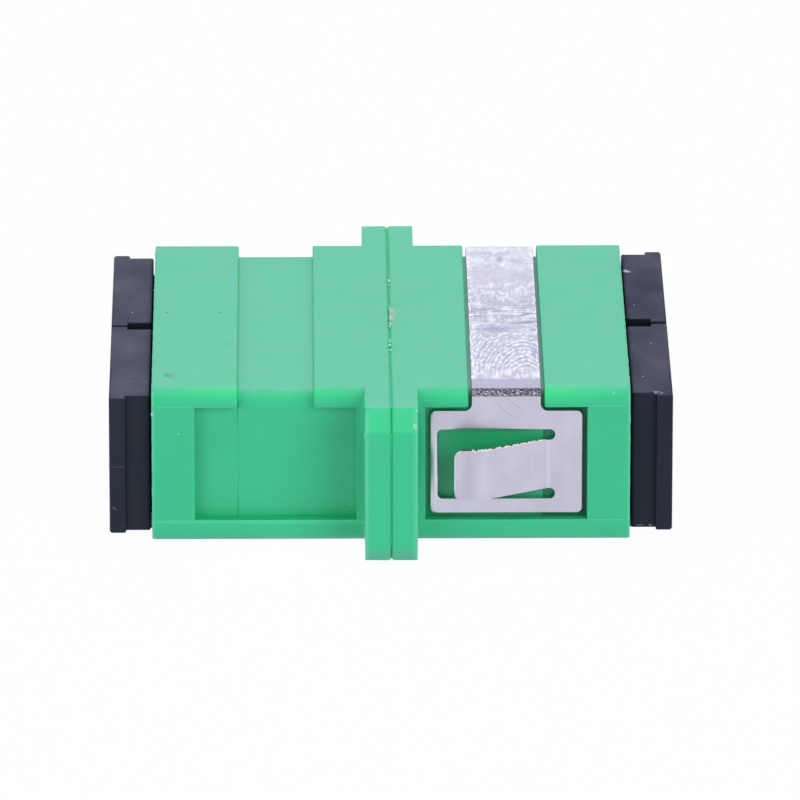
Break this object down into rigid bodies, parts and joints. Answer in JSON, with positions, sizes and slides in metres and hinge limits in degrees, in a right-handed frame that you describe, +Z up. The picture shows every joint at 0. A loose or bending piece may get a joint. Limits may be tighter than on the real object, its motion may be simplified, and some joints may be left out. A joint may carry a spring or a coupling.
{
  "type": "sc fibre adapter",
  "caption": "SC fibre adapter: plug ports side by side through a flanged green housing, with latch holders, split sleeves, a spring panel clip and dust caps.",
  "frame": {"origin": "on the underside, in the middle of the flange and midway between the ports", "axes": "+X along the ports towards the half that carries the clip, +Y across from the front port to the back one, +Z up from the underside"},
  "size_m": [0.0322, 0.0336, 0.0093],
  "materials": {
    "housing": "satin moulded plastic, light green",
    "latch_holder": "satin moulded plastic, light green",
    "split_sleeve": "polished white zirconia ceramic, for which gloss plastic stands in",
    "panel_clip": "bright stamped spring steel",
    "dust_cap": "matte moulded plastic, blue-black"
  },
  "bodies": {
    "adapter": {"housing_right": "housing", "housing_left": "housing", "latch_holder_right_front": "latch_holder", "latch_holder_left_front": "latch_holder", "split_sleeve_front": "split_sleeve", "latch_holder_right_back": "latch_holder", "latch_holder_left_back": "latch_holder", "split_sleeve_back": "split_sleeve", "panel_clip": "panel_clip"},
    "cap_right_front": {"dust_cap_right_front": "dust_cap"},
    "cap_right_back": {"dust_cap_right_back": "dust_cap"},
    "cap_left_front": {"dust_cap_left_front": "dust_cap"},
    "cap_left_back": {"dust_cap_left_back": "dust_cap"}
  },
  "joints": [
    {"name": "cap_right_front_pull", "type": "slide", "parent": "adapter", "child": "cap_right_front", "axis": [1, 0, 0], "range_m": [0, 0.01]},
    {"name": "cap_right_back_pull", "type": "slide", "parent": "adapter", "child": "cap_right_back", "axis": [1, 0, 0], "range_m": [0, 0.01]},
    {"name": "cap_left_front_pull", "type": "slide", "parent": "adapter", "child": "cap_left_front", "axis": [-1, 0, 0], "range_m": [0, 0.01]},
    {"name": "cap_left_back_pull", "type": "slide", "parent": "adapter", "child": "cap_left_back", "axis": [-1, 0, 0], "range_m": [0, 0.01]}
  ]
}
